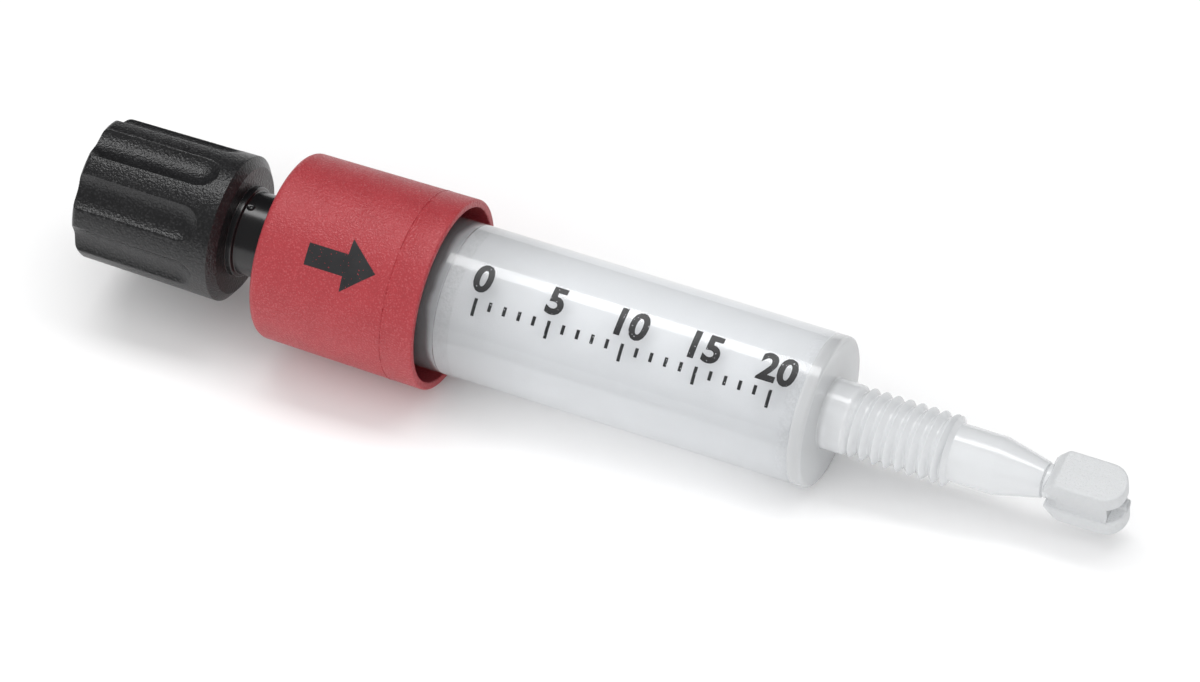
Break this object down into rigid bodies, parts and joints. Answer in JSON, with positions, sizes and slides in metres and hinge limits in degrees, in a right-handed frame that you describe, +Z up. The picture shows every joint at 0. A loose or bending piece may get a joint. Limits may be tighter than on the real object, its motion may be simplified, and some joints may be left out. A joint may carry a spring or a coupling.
{
  "type": "prepacked chromatography column",
  "caption": "Translucent moulded column with a packed bed, a red clip-on collar, a black fluted screw stopper and a threaded outlet closed by a snap-off tab.",
  "frame": {"origin": "on the bench, under the middle of the column's length", "axes": "+X from the stopper towards the outlet, +Z up from the bench; the column's own axis leans nose-down by about 3.0 degrees in the XZ plane"},
  "size_m": [0.0712, 0.0126, 0.013],
  "materials": {
    "translucent_plastic": "translucent milky moulding, glossy barrel with a fine grain on the tab",
    "red_plastic": "fine satin grain",
    "black_plastic": "smooth satin",
    "stopper_plastic": "leather-like mould grain on the knob, smooth neck",
    "frit": "sintered porous white",
    "packed_bed": "wet fine white beads"
  },
  "bodies": {
    "column": {"barrel": "translucent_plastic", "collar": "red_plastic", "inlet_adapter": "black_plastic", "top_frit": "frit", "resin_bed": "packed_bed", "bottom_frit": "frit"},
    "stopper": {"stopper": "stopper_plastic"}
  },
  "joints": [
    {"name": "stopper_lift", "type": "slide", "parent": "column", "child": "stopper", "axis": [-0.9986, 0, 0.0527], "range_m": [0, 0.012]}
  ]
}
